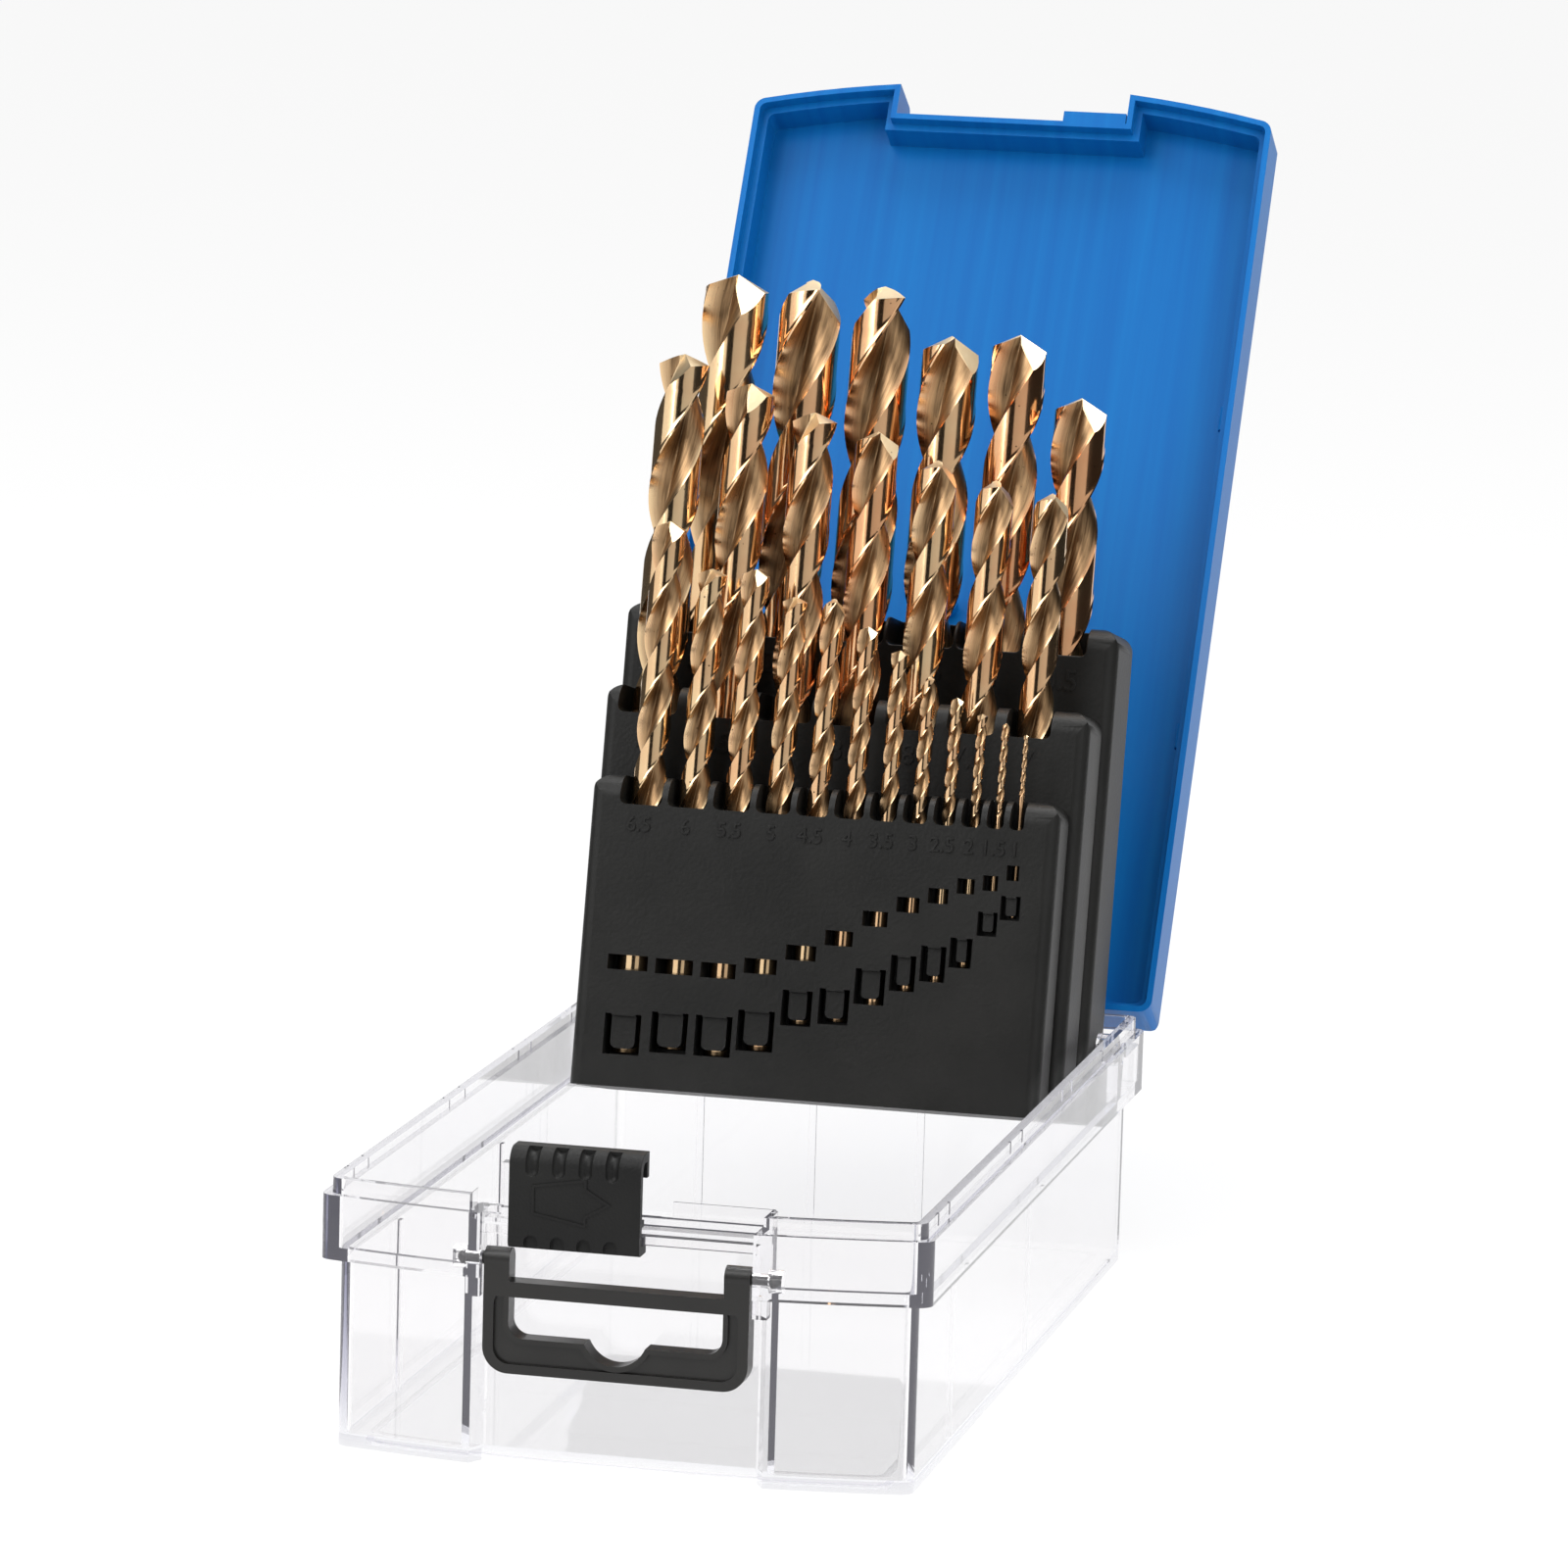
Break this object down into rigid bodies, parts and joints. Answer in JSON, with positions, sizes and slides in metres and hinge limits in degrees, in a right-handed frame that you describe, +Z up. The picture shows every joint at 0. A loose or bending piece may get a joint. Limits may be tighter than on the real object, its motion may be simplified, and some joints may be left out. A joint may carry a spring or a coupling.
{
  "type": "drill bit case",
  "caption": "Hinged drill case: clear base, blue lid, swing-up racks of twist drills, sliding latch and folding handle.",
  "frame": {"origin": "middle of the base's flat underside", "axes": "+X to the right seen from the front, +Y from the latch to the hinge, +Z up; the case stands open"},
  "size_m": [0.1098, 0.3223, 0.2205],
  "materials": {
    "clear_plastic": "clear injection-moulded plastic, polished",
    "blue_plastic": "blue moulded plastic, fine satin grain",
    "rack_plastic": "black plastic with a fine leather grain",
    "trim_plastic": "black plastic, satin",
    "drill_steel": "ground high-speed steel with a bronze-gold oxide tint",
    "pin_steel": "drawn wire"
  },
  "bodies": {
    "base": {"base": "clear_plastic", "hinge_pin": "pin_steel"},
    "lid": {"lid": "blue_plastic"},
    "racks": {"rack_front": "rack_plastic", "rack_middle": "rack_plastic", "rack_back": "rack_plastic"},
    "latch": {"latch_slider": "trim_plastic"},
    "carry_handle": {"handle": "trim_plastic"},
    "drill_1_0mm": {"drill_1_0mm": "drill_steel"},
    "drill_1_5mm": {"drill_1_5mm": "drill_steel"},
    "drill_2_0mm": {"drill_2_0mm": "drill_steel"},
    "drill_2_5mm": {"drill_2_5mm": "drill_steel"},
    "drill_3_0mm": {"drill_3_0mm": "drill_steel"},
    "drill_3_5mm": {"drill_3_5mm": "drill_steel"},
    "drill_4_0mm": {"drill_4_0mm": "drill_steel"},
    "drill_4_5mm": {"drill_4_5mm": "drill_steel"},
    "drill_5_0mm": {"drill_5_0mm": "drill_steel"},
    "drill_5_5mm": {"drill_5_5mm": "drill_steel"},
    "drill_6_0mm": {"drill_6_0mm": "drill_steel"},
    "drill_6_5mm": {"drill_6_5mm": "drill_steel"},
    "drill_7_0mm": {"drill_7_0mm": "drill_steel"},
    "drill_7_5mm": {"drill_7_5mm": "drill_steel"},
    "drill_8_0mm": {"drill_8_0mm": "drill_steel"},
    "drill_8_5mm": {"drill_8_5mm": "drill_steel"},
    "drill_9_0mm": {"drill_9_0mm": "drill_steel"},
    "drill_9_5mm": {"drill_9_5mm": "drill_steel"},
    "drill_10_0mm": {"drill_10_0mm": "drill_steel"},
    "drill_10_5mm": {"drill_10_5mm": "drill_steel"},
    "drill_11_0mm": {"drill_11_0mm": "drill_steel"},
    "drill_11_5mm": {"drill_11_5mm": "drill_steel"},
    "drill_12_0mm": {"drill_12_0mm": "drill_steel"},
    "drill_12_5mm": {"drill_12_5mm": "drill_steel"},
    "drill_13_0mm": {"drill_13_0mm": "drill_steel"}
  },
  "joints": [
    {"name": "racks_swing", "type": "hinge", "parent": "base", "child": "racks", "pos_m": [0, 0.0772, 0.04459], "axis": [-1, 0, 0], "range_deg": [-103, 0]},
    {"name": "lid_hinge", "type": "hinge", "parent": "base", "child": "lid", "pos_m": [0, 0.1017, 0.04574], "axis": [-1, 0, 0], "range_deg": [-121.54, 0]},
    {"name": "latch_slide", "type": "slide", "parent": "base", "child": "latch", "axis": [1, 0, 0], "range_m": [0, 0.0194]},
    {"name": "handle_swing", "type": "hinge", "parent": "base", "child": "carry_handle", "pos_m": [0, -0.1006, 0.03719], "axis": [-1, 0, 0], "range_deg": [-4, 105]},
    {"name": "drill_1_0mm_pull", "type": "slide", "parent": "racks", "child": "drill_1_0mm", "axis": [0, 0.225, 0.9744], "range_m": [0, 0.023]},
    {"name": "drill_1_5mm_pull", "type": "slide", "parent": "racks", "child": "drill_1_5mm", "axis": [0, 0.225, 0.9744], "range_m": [0, 0.026]},
    {"name": "drill_2_0mm_pull", "type": "slide", "parent": "racks", "child": "drill_2_0mm", "axis": [0, 0.225, 0.9744], "range_m": [0, 0.033]},
    {"name": "drill_2_5mm_pull", "type": "slide", "parent": "racks", "child": "drill_2_5mm", "axis": [0, 0.225, 0.9744], "range_m": [0, 0.038]},
    {"name": "drill_3_0mm_pull", "type": "slide", "parent": "racks", "child": "drill_3_0mm", "axis": [0, 0.225, 0.9744], "range_m": [0, 0.0385]},
    {"name": "drill_3_5mm_pull", "type": "slide", "parent": "racks", "child": "drill_3_5mm", "axis": [0, 0.225, 0.9744], "range_m": [0, 0.0425]},
    {"name": "drill_4_0mm_pull", "type": "slide", "parent": "racks", "child": "drill_4_0mm", "axis": [0, 0.225, 0.9744], "range_m": [0, 0.045]},
    {"name": "drill_4_5mm_pull", "type": "slide", "parent": "racks", "child": "drill_4_5mm", "axis": [0, 0.225, 0.9744], "range_m": [0, 0.046]},
    {"name": "drill_5_0mm_pull", "type": "slide", "parent": "racks", "child": "drill_5_0mm", "axis": [0, 0.225, 0.9744], "range_m": [0, 0.052]},
    {"name": "drill_5_5mm_pull", "type": "slide", "parent": "racks", "child": "drill_5_5mm", "axis": [0, 0.225, 0.9744], "range_m": [0, 0.0535]},
    {"name": "drill_6_0mm_pull", "type": "slide", "parent": "racks", "child": "drill_6_0mm", "axis": [0, 0.225, 0.9744], "range_m": [0, 0.053]},
    {"name": "drill_6_5mm_pull", "type": "slide", "parent": "racks", "child": "drill_6_5mm", "axis": [0, 0.225, 0.9744], "range_m": [0, 0.054]},
    {"name": "drill_7_0mm_pull", "type": "slide", "parent": "racks", "child": "drill_7_0mm", "axis": [0, 0.225, 0.9744], "range_m": [0, 0.0675]},
    {"name": "drill_7_5mm_pull", "type": "slide", "parent": "racks", "child": "drill_7_5mm", "axis": [0, 0.225, 0.9744], "range_m": [0, 0.067]},
    {"name": "drill_8_0mm_pull", "type": "slide", "parent": "racks", "child": "drill_8_0mm", "axis": [0, 0.225, 0.9744], "range_m": [0, 0.0695]},
    {"name": "drill_8_5mm_pull", "type": "slide", "parent": "racks", "child": "drill_8_5mm", "axis": [0, 0.225, 0.9744], "range_m": [0, 0.0665]},
    {"name": "drill_9_0mm_pull", "type": "slide", "parent": "racks", "child": "drill_9_0mm", "axis": [0, 0.225, 0.9744], "range_m": [0, 0.0695]},
    {"name": "drill_9_5mm_pull", "type": "slide", "parent": "racks", "child": "drill_9_5mm", "axis": [0, 0.225, 0.9744], "range_m": [0, 0.0665]},
    {"name": "drill_10_0mm_pull", "type": "slide", "parent": "racks", "child": "drill_10_0mm", "axis": [0, 0.225, 0.9744], "range_m": [0, 0.0685]},
    {"name": "drill_10_5mm_pull", "type": "slide", "parent": "racks", "child": "drill_10_5mm", "axis": [0, 0.225, 0.9744], "range_m": [0, 0.0885]},
    {"name": "drill_11_0mm_pull", "type": "slide", "parent": "racks", "child": "drill_11_0mm", "axis": [0, 0.225, 0.9744], "range_m": [0, 0.0855]},
    {"name": "drill_11_5mm_pull", "type": "slide", "parent": "racks", "child": "drill_11_5mm", "axis": [0, 0.225, 0.9744], "range_m": [0, 0.0865]},
    {"name": "drill_12_0mm_pull", "type": "slide", "parent": "racks", "child": "drill_12_0mm", "axis": [0, 0.225, 0.9744], "range_m": [0, 0.0865]},
    {"name": "drill_12_5mm_pull", "type": "slide", "parent": "racks", "child": "drill_12_5mm", "axis": [0, 0.225, 0.9744], "range_m": [0, 0.086]},
    {"name": "drill_13_0mm_pull", "type": "slide", "parent": "racks", "child": "drill_13_0mm", "axis": [0, 0.225, 0.9744], "range_m": [0, 0.0855]}
  ],
  "couplings": [
    {"joint": "lid_hinge", "follows": "racks_swing", "ratio": 1.18}
  ]
}
